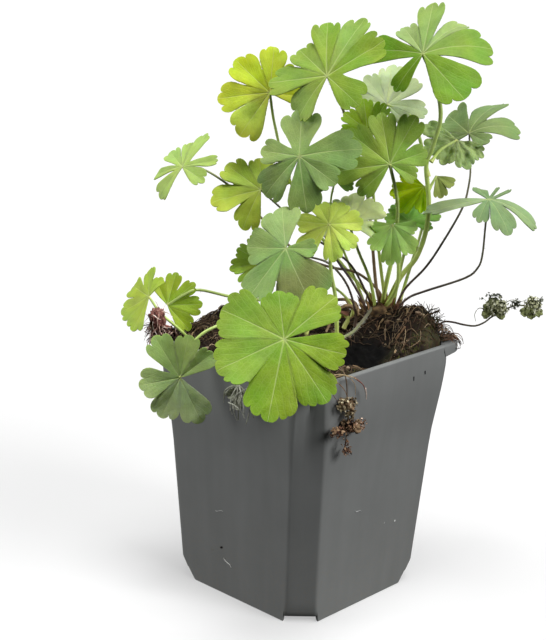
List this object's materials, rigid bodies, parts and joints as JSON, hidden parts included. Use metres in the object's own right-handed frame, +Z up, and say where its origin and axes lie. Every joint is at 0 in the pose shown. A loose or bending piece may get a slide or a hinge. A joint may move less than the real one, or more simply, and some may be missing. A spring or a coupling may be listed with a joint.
{
  "type": "potted hardy geranium",
  "caption": "Young hardy geranium with lobed, toothed leaves on long thin petioles, growing in a square tapered nursery pot filled with peaty soil.",
  "frame": {"origin": "centre of the underside of the pot, on the ground", "axes": "+Z up; +X and +Y square to two neighbouring sides of the pot"},
  "size_m": [0.1237, 0.1589, 0.233],
  "materials": {
    "pot_plastic": "matte",
    "peat": "matte",
    "root_bark": "matte",
    "leaf_green": "matte",
    "leaf_blue_green": "matte",
    "leaf_dark_green": "matte",
    "leaf_pale_green": "matte",
    "leaf_yellow": "matte",
    "petiole_dark": "satin",
    "petiole_brown": "satin",
    "dried_grey": "matte",
    "dried_brown": "matte",
    "calyx_pink": "matte"
  },
  "bodies": {
    "root": {"brown_hanging_leaf": "dried_brown", "dried_calyx": "calyx_pink", "grey_hanging_leaf": "dried_grey", "leaf_back_bright": "leaf_green", "leaf_back_dark_small": "leaf_dark_green", "leaf_far_left_fan": "leaf_pale_green", "leaf_far_left_small": "leaf_pale_green", "leaf_front_large": "leaf_green", "leaf_inner_dark": "leaf_dark_green", "leaf_left_blue": "leaf_blue_green", "leaf_left_hanging": "leaf_blue_green", "leaf_left_rim_fan": "leaf_green", "leaf_left_yellow": "leaf_yellow", "leaf_low_grey": "leaf_blue_green", "leaf_low_middle_green": "leaf_green", "leaf_low_small_yellow": "leaf_yellow", "leaf_middle_brownish": "leaf_pale_green", "leaf_middle_pale": "leaf_pale_green", "leaf_middle_yellow": "leaf_yellow", "leaf_right_dark": "leaf_dark_green", "leaf_right_drooping": "leaf_dark_green", "leaf_top_left_yellow": "leaf_yellow", "leaf_top_middle": "leaf_green", "leaf_young_yellow": "leaf_yellow", "leafy_stem": "leaf_green", "petiole_far_left_small": "petiole_brown", "petiole_left_blue": "petiole_dark", "petiole_left_yellow": "petiole_dark", "petiole_low_grey": "petiole_dark", "petiole_right_dark": "petiole_dark", "petiole_right_drooping": "petiole_dark", "petiole_top_middle": "petiole_brown", "pot": "pot_plastic", "rootstock": "root_bark", "shrivelled_leaf": "dried_grey", "soil": "peat", "surface_root_front": "root_bark", "surface_root_left": "root_bark"}
  },
  "joints": []
}
